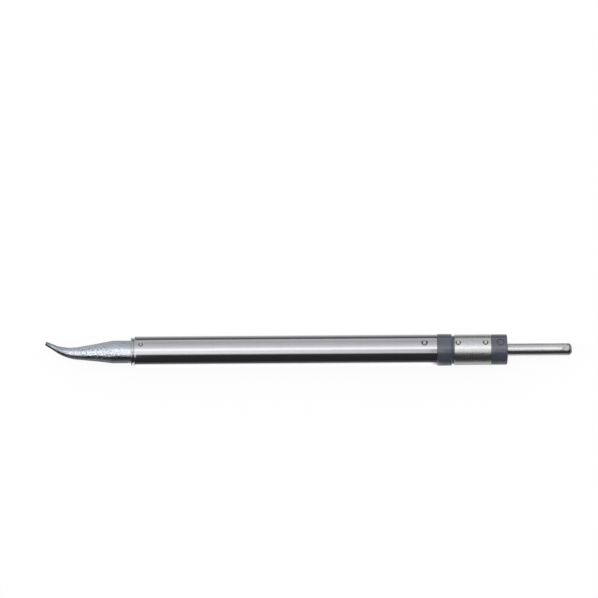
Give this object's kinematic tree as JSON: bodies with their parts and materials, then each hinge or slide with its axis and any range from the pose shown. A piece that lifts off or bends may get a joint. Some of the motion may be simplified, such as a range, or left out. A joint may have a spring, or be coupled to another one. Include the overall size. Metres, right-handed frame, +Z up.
{
  "type": "soldering iron tip cartridge",
  "caption": "Soldering iron tip cartridge: a bent conical bit in a long slim steel barrel, with a grey plug behind it that carries a ring contact and a pin contact.",
  "frame": {"origin": "middle of the cartridge's length on the surface it lies on, straight below its axis", "axes": "+X along the cartridge's axis towards the contact pin, +Y towards the side the bit bends to, +Z up from the surface it lies on"},
  "size_m": [0.0986, 0.006, 0.006],
  "materials": {
    "bit_plating": "iron plating over copper, bluish grey and grainy, brown and worn at the working end",
    "bush_steel": "turned steel, grey satin",
    "barrel_steel": "drawn stainless tube, fine rings of brushing",
    "magnetic_alloy": "bare magnetic alloy",
    "former_ceramic": "fired white ceramic, unglazed",
    "coil_wire": "flat copper wire",
    "jacket_film": "amber high-temperature insulation",
    "tinned_brass": "tinned brass",
    "rod_copper": "copper rod",
    "white_liner": "white fluoropolymer sleeve",
    "plug_plastic": "slate blue-grey moulding, semi-matt",
    "ring_tin": "tinned sheet brass, dull silver with warm patches",
    "pin_nickel": "nickel-plated brass, satin, lightly scuffed"
  },
  "bodies": {
    "root": {"soldering_bit": "bit_plating", "bit_bush": "bush_steel", "barrel": "barrel_steel", "alloy_sleeve": "magnetic_alloy", "coil_former": "former_ceramic", "heater_coil": "coil_wire", "coil_lead_front": "coil_wire", "coil_lead_rear": "coil_wire", "coil_jacket": "jacket_film", "shield_tube": "magnetic_alloy", "heater_end_disc": "former_ceramic", "lead_crimp": "tinned_brass", "inner_conductor": "rod_copper", "conductor_sleeve": "white_liner", "spacer_front": "former_ceramic", "spacer_rear": "former_ceramic", "connector_body": "plug_plastic", "return_strap": "tinned_brass", "contact_ring": "ring_tin", "contact_pin": "pin_nickel"}
  },
  "joints": []
}
